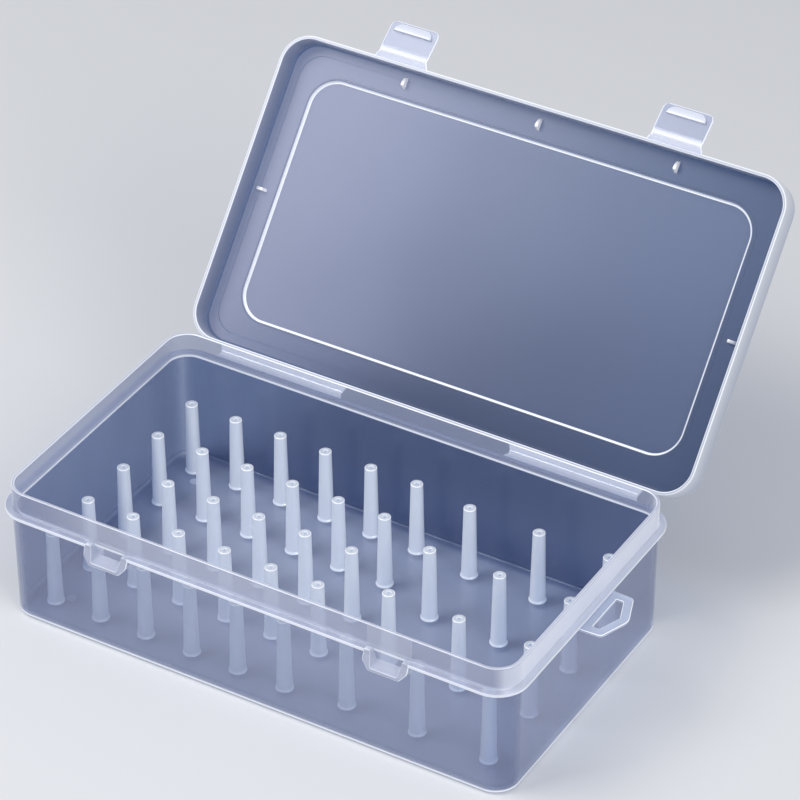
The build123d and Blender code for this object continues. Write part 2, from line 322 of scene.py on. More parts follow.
def beam(
    name: str, lines: Array, reach: Array, whites: list[float], face: float, tip: float = 0.0
) -> bpy.types.Object:
    """Carry a rounded section, given by its corner lines, and round its two ends.

    An end's rings lie tip (1 - sin a) inside it and are smaller by tip (1 - cos a), with a from
    0 to 90 degrees, and are as white as the tip at least.

    Args:
        name: The piece's name.
        lines: Places by corners of the section, with the shape (places, corners, 3).
        reach: How far the rounding reaches from each corner of the section.
        whites: Whiteness of each corner.
        face: Whiteness of the faces.
        tip: Radius and whiteness of the ends; 0 where the lines close on themselves.

    Returns:
        The new object.
    """
    ends = []
    for end, beside in ((lines[0], lines[1]), (lines[-1], lines[-2])):
        centre = end.mean(axis=0)
        out = unit(centre - beside.mean(axis=0))
        size = np.linalg.norm(end - centre, axis=-1).mean()
        turn = np.linspace(0, np.pi / 2, 4)[:, None, None]
        less = 1 - tip * (1 - np.cos(turn)) / size
        ends.append(centre + (end - centre) * less - out * tip * (1 - np.sin(turn)))
    body = np.concatenate([ends[0][::-1], lines[1:-1], ends[1]]) if tip else lines
    section = eased(body.swapaxes(0, 1), reach).swapaxes(0, 1)
    # Whiteness: thicker milky edges with painted highlights on the rounded corners and the ends.
    shine = np.concatenate([[face, *[white] * (EASED_STEPS - 1), face] for white in whites])
    shine = np.tile(shine, (len(section), 1))
    if tip:
        shine[:3] = np.maximum(shine[:3], tip)
        shine[-3:] = np.maximum(shine[-3:], tip)
    return surface(name, section, shine, joined=not tip)


def strap(name: str, rows: Array, centre_x: float) -> bpy.types.Object:
    """Carry a flat rounded section along a line in the Y-Z plane.

    A ring's points are line + n v + x u, where n is square to the line, and (u, v) goes round
    a rectangle of the ring's width and thickness, whose rounded corners are white.

    Args:
        name: The piece's name.
        rows: (y, z, half width, thickness, whiteness of the faces) for each ring.
        centre_x: The strap's place along X.

    Returns:
        The new object.
    """
    corner_radius, guard = 0.3, 0.25
    line, wide, half, white = rows[:, :2], rows[:, 2:3], rows[:, 3:4] / 2, rows[:, 4:]
    along = unit(np.gradient(line, axis=0))
    n = np.stack([-along[:, 1], along[:, 0]], axis=1)
    r = np.minimum(corner_radius, half * 0.98)
    turn = np.linspace(0, np.pi / 2, 4)[None, :]
    u, v, shine = [], [], []
    for quarter, (su, sv) in enumerate(((1, 1), (-1, 1), (-1, -1), (1, -1))):
        angle = turn + quarter * np.pi / 2
        u.append(su * (wide - r) + r * np.cos(angle))
        v.append(sv * (half - r) + r * np.sin(angle))
        # The rounded corners are white: painted highlights.
        shine.append(np.ones_like(u[-1]))
        if quarter in (0, 2):
            flat = su * (wide - corner_radius - guard)
            u += [flat, -flat]
            v += [sv * half, sv * half]
            shine += [white, white]
    u, v = np.concatenate(u, axis=1), np.concatenate(v, axis=1)
    y, z = line[:, :1] + v * n[:, :1], line[:, 1:] + v * n[:, 1:]
    return surface(name, np.stack([centre_x + u, y, z], axis=-1), np.concatenate(shine, axis=1))


def sampled(table: Array, count: int) -> Array:
    """Pass evenly along the line of the first two columns, and soften what is found.

    The rows are read at equal steps of the length, and each becomes a mean of itself and its
    neighbours, (a + 2 b + c) / 4, but for the first and the last.

    Args:
        table: Rows of (y, z, further values).
        count: Rows to give.

    Returns:
        The new rows.
    """
    length = np.concatenate([[0], np.cumsum(np.hypot(*np.diff(table[:, :2], axis=0).T))])
    at = np.linspace(0, length[-1], count)
    rows = np.stack([np.interp(at, length, column) for column in table.T], axis=1)
    rows[1:-1] = (rows[:-2] + 2 * rows[1:-1] + rows[2:]) / 4
    return rows


def plate(outline: Array, profile: Array, lift: Array) -> Array:
    """Carry a profile round an outline in the X-Y plane: p - inset n, height lift.

    n is the outline's outward direction at each point, long enough for the sides to move in
    evenly.

    Args:
        outline: Points of the outline, against the clock, rows of (x, y).
        profile: Rows of (inset, height).
        lift: Share of the height at each point of the outline.

    Returns:
        Points with the shape (rows of the profile, points of the outline, 3).
    """
    ahead = unit(np.roll(outline, -1, axis=0) - outline)
    side = np.stack([ahead[:, 1], -ahead[:, 0]], axis=1)
    out = unit(side + np.roll(side, 1, axis=0))
    out = out / np.einsum("ij,ij->i", out, side)[:, None]
    inset, height = profile.T[..., None]
    return np.dstack([outline[None] - inset[..., None] * out[None], height * lift])


# -------- finishes


class Graph:
    """A material's node tree, with short calls to add nodes."""

    def __init__(self, name: str) -> None:
        """Make an empty material of this name."""
        self.material = bpy.data.materials.new(name)
        self.material.use_nodes = True
        self.tree = self.material.node_tree
        self.tree.nodes.clear()

    def add(self, kind: str, **values: object) -> bpy.types.Node:
        """Add a node of this type, named without ShaderNode, with these properties and inputs."""
        node = self.tree.nodes.new("ShaderNode" + kind)
        for key, value in values.items():
            if hasattr(node, key):
                setattr(node, key, value)
        for key, value in values.items():
            if not hasattr(node, key):
                self.put(node, key, value)
        return node

    def put(self, node: bpy.types.Node, key: str, value: object) -> None:
        """Set or link one input, named by its words with underscores or by i and its number."""
        number = key[1:]
        socket = node.inputs[int(number) if number.isdigit() else key.replace("_", " ")]
        if isinstance(value, bpy.types.NodeSocket):
            self.tree.links.new(value, socket)
        elif isinstance(value, tuple) and len(value) == 3 and socket.type == "RGBA":
            socket.default_value = (*value, 1.0)
        else:
            socket.default_value = value

    def math(self, operation: str, *values: object, clamp: bool = False) -> bpy.types.NodeSocket:
        """The result of a Math node on numbers or sockets."""
        inputs = {f"i{index}": value for index, value in enumerate(values)}
        return self.add("Math", operation=operation, use_clamp=clamp, **inputs).outputs[0]

    def blend(self, share: object, low: object, high: object) -> bpy.types.NodeSocket:
        """The colour between low and high at this share."""
        return self.add("Mix", data_type="RGBA", i0=share, i6=low, i7=high).outputs[2]

    def finish(self, shader: bpy.types.NodeSocket) -> bpy.types.Material:
        """Link the shader to the output and give back the material."""
        self.add("OutputMaterial", Surface=shader)
        return self.material


@dataclass(frozen=True)
class MilkyPlastic:
    """Thin moulded polypropylene: light passes tinted, and some of it scatters milky."""

    name: str
    tint: Colour
    milk: Colour
    mottle_and_painted_shade_milk: Colour
    haze: float
    rim_haze: float = 0.85
    edge_and_highlight_milk: Colour = (0.90, 0.93, 1.0)
    gloss: float = 0.06
    gloss_roughness: float = 0.1
    slope: float = 0.0
    slope_start: float = 0.0
    shade: float = 0.5
    ripple: float = 0.03
    # Tint and milk that the mesh's painted shade leads to.
    painted_shade_tint: Colour | None = None
    painted_shade_milk: Colour = (0.05, 0.08, 0.15)

    def material(self) -> bpy.types.Material:
        """Build the material.

        opacity = haze + (rim_haze - haze) f^3 + 0.25 haze (cloud - 0.5) +
        edge (0.95 - haze), where f is 1 less the cosine to the view and edge is the mesh's
        whiteness: thicker milky edges with painted highlights. Gloss is gloss + 0.5 f^5. The milk
        goes from milk to the far milk with a soft cloud, and along X with the slope, which paints
        shade across the lid, darker to the right. Milk and tint go to their painted shade colours
        with the mesh's painted shade. Light that falls through to other pieces meets only the share
        shade of the opacity. Faint flow ripples bump the surface.
        """
        g = Graph(self.name)
        place = g.add("TexCoord").outputs["Object"]
        cloud = g.add("TexNoise", Vector=place, Scale=7.0, Detail=2.0).outputs["Fac"]
        flow = g.add("Mapping", Vector=place, Scale=(22.0, 22.0, 9.0)).outputs[0]
        ripples = g.add("TexNoise", Vector=flow, Scale=1.0, Detail=1.0).outputs["Fac"]
        bump = g.add("Bump", Height=ripples, Strength=self.ripple, Distance=0.001).outputs[0]
        facing = g.add("LayerWeight", Blend=0.5).outputs["Facing"]
        edge = g.add("Attribute", attribute_name="edge").outputs["Fac"]
        deep = g.add("Attribute", attribute_name="deep").outputs["Fac"]
        rim = g.math("POWER", facing, 3.0)
        haze = g.math("MULTIPLY_ADD", rim, self.rim_haze - self.haze, self.haze)
        haze = g.math("MULTIPLY_ADD", g.math("SUBTRACT", cloud, 0.5), 0.25 * self.haze, haze)
        opacity = g.math("MULTIPLY_ADD", edge, 0.95 - self.haze, haze, clamp=True)
        lit = g.add("LightPath").outputs["Is Shadow Ray"]
        opacity = g.math("MULTIPLY", opacity, g.math("MULTIPLY_ADD", lit, self.shade - 1.0, 1.0))
        across = g.add("SeparateXYZ", Vector=place).outputs["X"]
        share = g.add(
            "MapRange", interpolation_type="SMOOTHSTEP", From_Min=self.slope_start,
            Value=g.math("MULTIPLY_ADD", across, self.slope, cloud),
        ).outputs["Result"]
        milk, tint = g.blend(share, self.milk, self.mottle_and_painted_shade_milk), self.tint
        # Painted shade: the mesh's attribute darkens the milk and the tint.
        if self.painted_shade_tint is not None:
            milk = g.blend(deep, milk, self.painted_shade_milk)
            tint = g.blend(deep, tint, self.painted_shade_tint)
        # Whiteness: a milky sheen at grazing view plus the edge whiteness, which is thicker milky
        # edges with painted highlights.
        white = g.math("MULTIPLY_ADD", rim, 0.6, edge, clamp=True)
        body = g.add(
            "BsdfPrincipled", Base_Color=g.blend(white, milk, self.edge_and_highlight_milk), Roughness=0.35,
            Normal=bump, IOR=1.49,
        ).outputs[0]
        through = g.add("BsdfTransparent", Color=tint).outputs[0]
        milky = g.add("MixShader", i0=opacity, i1=through, i2=body).outputs[0]
        glossy = g.add(
            "BsdfGlossy", Color=(1.0, 1.0, 1.0), Roughness=self.gloss_roughness, Normal=bump
        ).outputs[0]
        shine = g.math("MULTIPLY_ADD", g.math("POWER", facing, 5.0), 0.5, self.gloss, clamp=True)
        return g.finish(g.add("MixShader", i0=shine, i1=milky, i2=glossy).outputs[0])


@dataclass(frozen=True)
class Finishes:
    """The finishes of the box's pieces."""

    tray: MilkyPlastic = MilkyPlastic(
        "tray_plastic", (0.88, 0.91, 0.96), (0.20, 0.22, 0.36), (0.27, 0.28, 0.42), 0.13,
        gloss_roughness=0.3, shade=0.35, ripple=0.012, painted_shade_tint=(0.50, 0.57, 0.745),
    )
    floor: MilkyPlastic = MilkyPlastic(
        "tray_floor_plastic", (0.64, 0.665, 0.76), (0.12, 0.12, 0.19), (0.17, 0.16, 0.24), 0.2,
        gloss=0.2, gloss_roughness=0.05, ripple=0.05,
    )
    # The lid's milk is painted shade along X through the slope: pale at the left end, dark at the
    # right.
    lid: MilkyPlastic = MilkyPlastic(
        "lid_plastic", (0.62, 0.68, 0.825), (0.37, 0.37, 0.475), (0.06, 0.09, 0.18), 0.32,
        gloss=0.01, gloss_roughness=0.3, slope=6.0, slope_start=-0.35, shade=1.0,
        ripple=0.008, painted_shade_tint=(0.34, 0.44, 0.65),
    )
    peg: MilkyPlastic = MilkyPlastic(
        "peg_plastic", (0.86, 0.91, 1.0), (0.88, 0.93, 1.0), (0.92, 0.96, 1.0), 0.73, 0.98,
        edge_and_highlight_milk=(1.0, 1.0, 1.0), gloss=0.1, gloss_roughness=0.14, shade=0.4,
        painted_shade_tint=(0.55, 0.62, 0.78),
    )
    latch: MilkyPlastic = MilkyPlastic(
        "latch_plastic", (0.78, 0.82, 0.92), (0.31, 0.35, 0.47), (0.36, 0.38, 0.49), 0.42,
        edge_and_highlight_milk=(0.8, 0.83, 0.9), gloss=0.03, gloss_roughness=0.2,
    )
    tab: MilkyPlastic = MilkyPlastic(
        "hang_tab_plastic", (0.86, 0.90, 0.96), (0.46, 0.52, 0.66), (0.50, 0.56, 0.70), 0.4,
        edge_and_highlight_milk=(0.95, 0.97, 1.0), gloss=0.04, gloss_roughness=0.2,
    )
    rib: MilkyPlastic = MilkyPlastic(
        "rib_plastic", (0.9, 0.92, 0.97), (0.95, 0.96, 1.0), (1.0, 1.0, 1.0), 0.85, 0.98,
        edge_and_highlight_milk=(1.0, 1.0, 1.0), gloss=0.1, gloss_roughness=0.15,
    )
    foot: MilkyPlastic = MilkyPlastic(
        "foot_plastic", (0.85, 0.88, 0.95), (0.74, 0.77, 0.86), (0.78, 0.8, 0.88), 0.8, 0.95
    )


@dataclass
class Palette:
    """The materials made once and shared by the pieces."""

    finishes: Finishes = field(default_factory=Finishes)
    made: dict[str, bpy.types.Material] = field(default_factory=dict)

    def get(self, kind: str) -> bpy.types.Material:
        """The material of this kind, made at the first call."""
        if kind not in self.made:
            self.made[kind] = getattr(self.finishes, kind).material()
        return self.made[kind]

    def dress(self, piece: bpy.types.Object, body: Body | None, slot: Slot, *kinds: str) -> None:
        """Give a piece its finishes and the body that it rides on.

        Args:
            piece: The object.
            body: The body that it rides on; None where it bends between two.
            slot: The record's slot; not used.
            kinds: Names of finishes, one for each material slot.
        """
        piece.data.materials.clear()
        for kind in kinds:
            piece.data.materials.append(self.get(kind))
        if body is not None:
            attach(piece, body.value)
        log.info("%s: %s", piece.name, body.value if body else "bends between two bodies")


# -------- the box


@dataclass
class Tray:
    """The tray: floor, drafted walls, flange, lip, feet, hang tab and latch catches."""

    half_length: float = 111.2
    half_depth: float = 62.5
    corner_radius: float = 10.3
    wall: float = 1.4
    draft: float = 0.62
    bottom: float = 0.8
    floor_top: float = 2.4
    bottom_radius: float = 1.0
    flange_bottom: float = 49.05
    flange_top: float = 50.35
    flange_reach: float = 2.8
    lip_top: float = 60.3
    foot_x: float = 94.0
    foot_y: float = 44.3
    foot_radius: float = 2.0
    tab_half_width: float = 13.0
    tab_shoulder: float = 11.4
    tab_reach: float = 16.2
    tab_ring: float = 3.6
    tab_band: float = 5.9
    tab_thickness: float = 1.07
    catch_offset: float = 61.5
    catch_half_width: float = 9.6
    catch_reach: float = 5.0
    bar_bottom: float = 42.85
    sill_low: float = 43.4
    sill_top: float = 43.9

    def section(self) -> Array:
        """The wall's section: (inset from the outline, height, whiteness)."""
        slope = math.tan(math.radians(self.draft))
        wall, low, high, reach = self.wall, self.flange_bottom, self.flange_top, self.flange_reach
        outer = (low - self.bottom) * slope
        inner = wall + (low - self.floor_top) * slope
        # Whiteness: thicker milky edges with painted highlights on the bottom edge, flange, lip top
        # and a bright line on the inner wall at the flange.
        return rounded_line([
            (outer + 4.0, self.bottom, 0, 0),
            (outer, self.bottom, self.bottom_radius, 1.0, 0.3, 1.0),
            (outer - 0.02, self.bottom + 1.9, 0, 0.0),
            ((low - self.sill_low) * slope, self.sill_low, 0, 0.0),
            ((low - self.sill_top) * slope, self.sill_top, 0, 0.0),
            (0.0, low, 0.35, 0.4, 0.0, 0.3),
            (-reach, low, 0.45, 0.9, 0.3, 0.9),
            (-reach, high, 0.45, 0.7, 0.9, 0.35),
            (0.0, high, 0.4, 0.3, 0.35, 0.1),
            (0.0, self.lip_top, 0.5, 0.7, 0.08, 0.45),
            (wall, self.lip_top, 0.5, 0.9, 0.45, 0.08),
            (wall, high + 1.8, 0, 0.1),
            (wall, high + 0.1, 0, 0.4),
            (wall, high - 0.1, 0, 1.0),
            (wall, low + 0.3, 0, 1.0),
            (wall, low + 0.15, 0, 0.0),
            (wall, low, 0, 0.0),
            (inner, self.floor_top, 0.3, 0.02),
            (inner + 4.0, self.floor_top, 0, 0),
        ])

    def marks(self) -> Array:
        """Places along the front and back, close together at the ends of the flange's gaps."""
        core = self.half_length - self.corner_radius
        ends = np.array([-1, 1]) * self.catch_half_width
        gaps = [side * self.catch_offset + end for side in (-1, 1) for end in ends]
        places = [gap + step for gap in gaps for step in (-0.3, -0.06, 0.06, 0.3)]
        return np.sort(np.array([-0.99 * core, 0.0, 0.99 * core, *places])) / core

    def tones(self, x: Array, y: Array, catch: Array, rows: Array) -> tuple[Array, Array]:
        """The shell's whiteness and painted shade at each point.

        Painted shade darkens the rear and left walls below the flange, and the right one a little,
        and dims the bottom edge's painted highlight at the rear and the left. Painted light makes
        the lip lighter at the right, where light falls on it, and along most of the front, and the
        wall behind a catch too.
        """
        inset, height, white = rows.T[..., None]
        low = height < self.flange_top
        # Painted shade: the rear and left walls, and a little of the right one, darker below the
        # flange.
        rear = ramp(y, self.half_depth - 6.0, self.half_depth - 2.0)
        left = 0.9 * ramp(-x, self.half_length - 6.0, self.half_length - 2.0)
        right = ramp(x, self.half_length - 9.0, self.half_length - 3.0)
        deep = np.where(low, np.maximum(np.maximum(rear, left), 0.27 * right), 0.0)
        # Painted light: the lip lighter at the right and along most of the front, and the wall
        # behind a catch.
        lip = ~low & (height < self.lip_top - 0.5)
        patch = catch & (inset > -0.1) & (inset < 1.0) & (height > self.sill_top - 0.1)
        along = 0.35 * ramp(x, -100.0, -80.0) * (1 - 0.3 * ramp(x, 0.0, 60.0))
        front = (y < 0) * np.maximum(0.12 * ramp(-x, 20.0, 80.0), along)
        milky = np.maximum(0.6 * right, front)
        # Painted shade dims the bottom edge's painted highlight at the rear and the left.
        edge = (height < self.bottom + 1.5) & (inset < self.bottom_radius + 1.0)
        shine = white * np.where(edge, 1 - 0.8 * np.maximum(rear, left), 1.0)
        return np.maximum(shine, np.maximum(milky * lip, 0.38 * patch)), deep

    def shell(self) -> bpy.types.Object:
        """Floor, walls, flange and lip as one mesh, without the flange where a catch stands."""
        rows = self.section()
        inset, height = rows[:, 0], rows[:, 1]
        outline = np.array([[self.half_length], [self.half_depth], [self.corner_radius]])
        x, y = loop_round(outline - np.maximum(inset, 0), self.marks())
        wide_x, wide_y = loop_round(outline - inset, self.marks())
        catch = (np.abs(np.abs(x) - self.catch_offset) < self.catch_half_width) & (y < 0)
        share = np.where(catch & (inset[:, None] < -0.01), 0.01, 1.0)
        rings = np.stack(
            [x + share * (wide_x - x), y + share * (wide_y - y), height[:, None] + 0 * x], axis=-1
        )
        shell = surface("tray_shell", rings, *self.tones(x, y, catch, rows))
        shell.data.polygons[len(shell.data.polygons) - 1].material_index = 1
        return shell

    def feet(self) -> bpy.types.Object:
        """Four low round feet under the floor, with rounded edges."""
        core, sunk = 0.02, self.bottom + 0.2
        # Whiteness: a painted highlight on the rounded edge.
        outline = rounded_line([(core, 0.0, 0, 0), (self.foot_radius, 0.0, 0.25, 0.8),
                                (self.foot_radius, sunk, 0, 0), (core, sunk, 0, 0)])
        outline = np.pad(outline, ((0, 0), (0, 1)))
        places = [(x, y) for x in (-self.foot_x, self.foot_x) for y in (-self.foot_y, self.foot_y)]
        name = "tray_feet_round"
        return merged(name, [revolved(name, outline, place, 28) for place in places])

    def hang_tab(self) -> bpy.types.Object:
        """The flat five-sided ring: a rounded section carried round corners, sunk in the wall."""
        slope = (self.tab_reach - self.tab_shoulder) / self.tab_half_width
        apex = self.tab_reach - self.tab_ring * math.hypot(1, slope)
        inner_y = self.tab_half_width - self.tab_ring
        outer = [(-0.25, self.tab_half_width + 0.4), (self.tab_shoulder, self.tab_half_width),
                 (self.tab_reach, 0.0)]
        inner = [(self.tab_band, inner_y), (apex - slope * inner_y, inner_y), (apex, 0.0)]
        top = self.flange_bottom - 0.03
        low = top - self.tab_thickness
        half = np.array(
            [[(self.half_length + x, y, z) for (x, y), z in zip((a, b, b, a), (top, top, low, low))]
             for a, b in zip(outer, inner)]
        )
        turns = np.array([[0, 0.3, 0.3, 0], [1.6, 0.6, 0.6, 1.6], [2.2, 0.5, 0.5, 2.2]])
        lines = eased(np.concatenate([half, half[1::-1] * [1, -1, 1]]),
                      np.concatenate([turns, turns[1::-1]]))
        return beam("hang_tab_ring", lines, np.array([0.32, 0.3, 0.3, 0.32]),
                    [1.0, 0.9, 0.5, 0.9], 0.1)

    def catch(self, side: Side) -> bpy.types.Object:
        """A bar held by two cheeks: a four-sided section carried along the U that they make.

        Its front stands out by flange_reach at the flange's underside, and evenly further
        down to its sill, by catch_reach. Its root is sunk a little into the wall.
        """
        top, bend, bar = self.flange_top, self.flange_bottom, self.bar_bottom
        wide, cheek, sill = self.catch_half_width, bar + 3.6, bar + 1.5
        outer = np.array([(wide, top), (wide, bend), (wide, cheek), (wide - 3.0, bar)])
        inner = np.array([(6.8, top), (6.65, bend), (6.25, cheek + 0.9), (5.6, sill)])
        root = inner + [[0, 0], [0, 0], [0, 0], [0, 1.4]]
        lines = []
        for half, front in ((outer, True), (inner, True), (root, False), (outer, False)):
            path = np.concatenate([half * [-1, 1], half[::-1]])
            reach = np.interp(path[:, 1], [sill, bend], [self.catch_reach, self.flange_reach])
            out = reach if front else np.full(len(path), -0.15)
            x = path[:, 0] + side.value * self.catch_offset
            lines.append(np.stack([x, -self.half_depth - out, path[:, 1]], axis=1))
        path = eased(np.stack(lines, axis=1), np.array([0, 0.4, 0.7, 0.7, 0.7, 0.7, 0.4, 0]))
        return beam(f"catch_{side.word}", path, np.array([0.4, 0.35, 0.15, 0.12]),
                    [1.0, 0.6, 0.3, 0.5], 0.32, tip=0.3)

    def build(self, palette: Palette) -> None:
        """Make and dress the tray's pieces."""
        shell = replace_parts(self.shell(), "base_tray")
        palette.dress(shell, Body.TRAY, Slot.TRAY, "tray", "floor")
        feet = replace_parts(self.feet(), "tray_feet")
        palette.dress(feet, Body.TRAY, Slot.TRAY, "foot")
        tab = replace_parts(self.hang_tab(), "hang_tab")
        palette.dress(tab, Body.TRAY, Slot.TRAY, "tab")
        for side in Side:
            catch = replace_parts(self.catch(side), f"latch_catch_{side.word}")
            palette.dress(catch, Body.TRAY, Slot.TRAY, "latch")


@dataclass
class Pegs:
    """Forty-two tapered pegs: a close group on the left and a wide group on the right."""

    floor_top: float = 2.4
    height: float = 32.8
    top_radius: float = 2.5
    base_radius: float = 3.2
    foot_radius: float = 3.6
    foot_height: float = 0.9
    bore_radius: float = 0.95
    left_x: tuple[float, float, int] = (-97.6, 7.4, 6)
    left_y: tuple[float, float, int] = (-49.5, 49.5, 5)
    right_x: tuple[float, float, int] = (33.1, 94.7, 3)
    right_y: tuple[float, float, int] = (-46.4, 46.4, 4)

    def outline(self) -> Array:
        """Half of a peg's section round its bore: foot, taper, rounded top and bore."""
        low, top = self.floor_top, self.floor_top + self.height
        rows = rounded_line([
            (self.bore_radius, low - 0.1, 0, 0),
            (self.foot_radius, low - 0.1, 0, 0.4),
            (self.foot_radius, low + 0.25, 0.2, 0.4),
            (self.base_radius, low + self.foot_height, 0.5, 0.2),
            (self.top_radius, top, 0.3, 1.0),
            (self.bore_radius, top, 0.2, 0.7),
            (self.bore_radius, low, 0, 0),
        ], steps=4)
        # Whiteness: painted highlights on the top rim, the bore's rim and the foot. The flat top
        # ring round the bore gets painted shade.
        flat = (np.abs(rows[:, 1] - top) < 0.01) & (rows[:, 2] < 0.3)
        return np.column_stack([rows, 0.3 * flat])

    def build(self, palette: Palette) -> None:
        """Make and dress every peg, each in its own node's place."""
        outline = self.outline()
        groups = (("left", self.left_x, self.left_y), ("right", self.right_x, self.right_y))
        for side, across, back in groups:
            for column, x in enumerate(np.linspace(*across), 1):
                for row, y in enumerate(np.linspace(*back), 1):
                    peg = revolved(f"peg_{side}_{column}_{row}", outline, (x, y), 24)
                    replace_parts(peg, f"{side}_peg_{column}_{row}")
                    palette.dress(peg, Body.TRAY, Slot.PEG, "peg")


@dataclass
class Lid:
    """The lid: plate with a raised panel, rounded rim, skirt, ribs and hinge leaves."""

    half_length: float = 113.7
    half_depth: float = 65.0
    corner_radius: float = 12.8
    skirt: float = 1.4
    skirt_bottom: float = 50.65
    plate_inner: float = 61.3
    plate_outer: float = 62.7
    edge_radius: float = 1.1
    panel_margin: float = 13.7
    panel_rise: float = 1.1
    panel_radius: float = 12.0
    hinge: tuple[float, float] = (67.9, 50.5)
    open_angle: float = 130.1
    hinge_offset: float = 66.5

    def section(self) -> Array:
        """The lid's section: (inset from the rim, height, whiteness)."""
        m, s, inner, outer = self.panel_margin, self.skirt, self.plate_inner, self.plate_outer
        step = m - (outer - inner)
        # Whiteness: thicker milky edges with painted highlights on the rim, the skirt's edge and the
        # panel's step.
        return rounded_line([
            (m + 4.0, outer + self.panel_rise, 0, 0),
            (step, outer + self.panel_rise, 0.4, 0.3),
            (step, outer, 0.3, 0.2),
            (0.0, outer, self.edge_radius, 0.6, 0.0, 0.4),
            (0.0, self.skirt_bottom, 0.45, 1.0, 0.6, 0.6),
            (s, self.skirt_bottom, 0.45, 1.0, 0.6, 0.3),
            (s, inner, 0.8, 0.0),
            (s + 4.1, inner, 0, 0.0),
            (s + 4.3, inner, 0, 0.0),
            (s + 4.5, inner, 0, 0.0),
            (m - 0.9, inner, 0, 0.0),
            (m - 0.7, inner, 0, 0.0),
            (m, inner, 0.3, 0.7, 0.0, 1.0),
            (m, inner + self.panel_rise, 0.3, 1.0, 1.0, 0.9),
            (m + 0.65, inner + self.panel_rise, 0, 0.9),
            (m + 0.9, inner + self.panel_rise, 0, 0.0),
            (m + 4.0, inner + self.panel_rise, 0, 0),
        ])

    def depth(self, x: Array, y: Array, inset: Array, height: Array) -> Array:
        """The lid's painted shade at each point.

        Painted shade darkens the margin to the right and the back, and the panel a little more to
        the right. At the left end it darkens the skirt's inside, the bend above it and a crease in
        the margin, and also the front skirt's inside and the seam round the panel.
        """
        m, s, inner = self.panel_margin, self.skirt, self.plate_inner
        # Painted shade: margin and panel darker to the right and back, with dark marks in creases
        # and corners.
        margin = (inset < m - 0.2) & (height > inner - 3.0)
        far = ramp(x, -20.0, 90.0)
        back = ramp(y, 20.0, 60.0) * ramp(x, -110.0, 0.0)
        deep = np.where(margin, np.maximum(far, back), 0.42 * ramp(x, -70.0, 90.0))
        seam = (np.abs(inset - m + 0.55) < 0.3) & (height < inner + 0.1)
        near, high = np.abs(inset - s) < 0.1, height > inner - 0.85
        inside = near & ~high & (height > self.skirt_bottom + 0.4)
        bend = (inset > s - 0.05) & (inset < s + 0.85) & high
        crease = np.abs(inset - s - 4.3) < 0.05
        pale = (inset > s + 0.86) & (inset < s + 4.2)
        tone = 0.7 * inside + np.where(near, 0.6, 1.0) * bend + crease + 0.05 * pale
        left = ramp(-x, 80.0, 100.0)
        mark = np.maximum(inside * (y < 5.0 - self.half_depth), tone * left)
        return np.maximum(deep, np.maximum(mark, 0.6 * seam))

    def shell(self) -> bpy.types.Object:
        """Plate and skirt as one mesh: a section carried round the outline, and swung open.

        The panel's step is carried round its own, rounder outline. Rings between the rim and
        the step pass smoothly from one outline to the other.
        """
        rows = self.section()
        inset, rim, m = rows[:, 0], 4.0, self.panel_margin
        step = m - (self.plate_outer - self.plate_inner) - 0.4
        share = ramp(inset, rim, step)
        radius = (1 - share) * (self.corner_radius - inset) + share * (self.panel_radius + m - inset)
        sizes = np.stack([self.half_length - inset, self.half_depth - inset, radius])
        x, y = loop_round(sizes, np.array([-0.99, 0.0, 0.99]))
        rings = np.stack([x, y, rows[:, 1:2] + 0 * x], axis=-1)
        deep = self.depth(x, y, rows[:, :1], rows[:, 1:2])
        return surface("lid_plate", turned(rings, self.hinge, -self.open_angle), rows[:, 2], deep)

    def ribs(self) -> bpy.types.Object:
        """The guide ribs' moulded solids with their edges rounded by a live Bevel."""
        name, width, flat_angle, edge_angle = "lid_guide_ribs", 0.2, 0.7, 28.0
        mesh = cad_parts["lid_ribs"].data.copy()
        mesh.name = name
        form = bmesh.new()
        form.from_mesh(mesh)
        bmesh.ops.remove_doubles(form, verts=form.verts, dist=0.002 * MM)
        bmesh.ops.dissolve_limit(
            form, angle_limit=math.radians(flat_angle), verts=form.verts, edges=form.edges
        )
        form.to_mesh(mesh)
        form.free()
        mesh.polygons.foreach_set("use_smooth", np.ones(len(mesh.polygons), bool))
        mesh.update()
        piece = placed(name, mesh)
        bevel = piece.modifiers.new("rounded_edges", "BEVEL")
        bevel.width = width * MM
        bevel.segments = 3
        bevel.limit_method = "ANGLE"
        bevel.angle_limit = math.radians(edge_angle)
        bevel.harden_normals = True
        return piece

    def strip(self, side: Side) -> bpy.types.Object:
        """One film hinge as a single strip: a leaf, a thin bend and a second leaf.

        The strip's middle runs from the tray's flange, through the bend line, to the skirt's
        edge, whose half is drawn shut and swung open with the lid. Its rows start with the
        distances from the bend line. It is attached to no body.
        """
        # The last column is whiteness: a painted highlight along the bend.
        rows = np.array([
            (-2.9, -0.8, 29.6, 1.3, 0.2), (-1.0, -0.8, 28.7, 1.3, 0.4),
            (-0.6, -0.55, 28.5, 1.0, 0.9), (-0.25, -0.2, 28.4, 0.5, 1.0),
            (0.0, 0.0, 28.4, 0.4, 1.0),
            (-0.2, 0.25, 28.4, 0.5, 1.0), (-0.55, 0.55, 28.5, 1.0, 0.8),
            (-1.0, 0.8, 28.7, 1.3, 0.6), (-3.2, 0.8, 29.6, 1.3, 0.5),
        ])
        rows[:, :2] += self.hinge
        rows[5:, :2] = turned(rows[5:, :2], self.hinge, -self.open_angle)
        name = f"hinge_strip_{side.word}"
        piece = strap(name, sampled(rows, 34), side.value * self.hinge_offset)
        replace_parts(piece, f"tray_hinge_leaf_{side.word}", f"lid_hinge_leaf_{side.word}")
        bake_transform(piece)
        return piece

    def build(self, palette: Palette) -> None:
        """Make and dress the lid's pieces."""
        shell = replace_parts(self.shell(), "lid_shell")
        palette.dress(shell, Body.LID, Slot.LID, "lid")
        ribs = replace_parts(self.ribs(), "lid_ribs")
        palette.dress(ribs, Body.LID, Slot.LID, "rib")
        for side in Side:
            palette.dress(self.strip(side), None, Slot.LID, "rib")


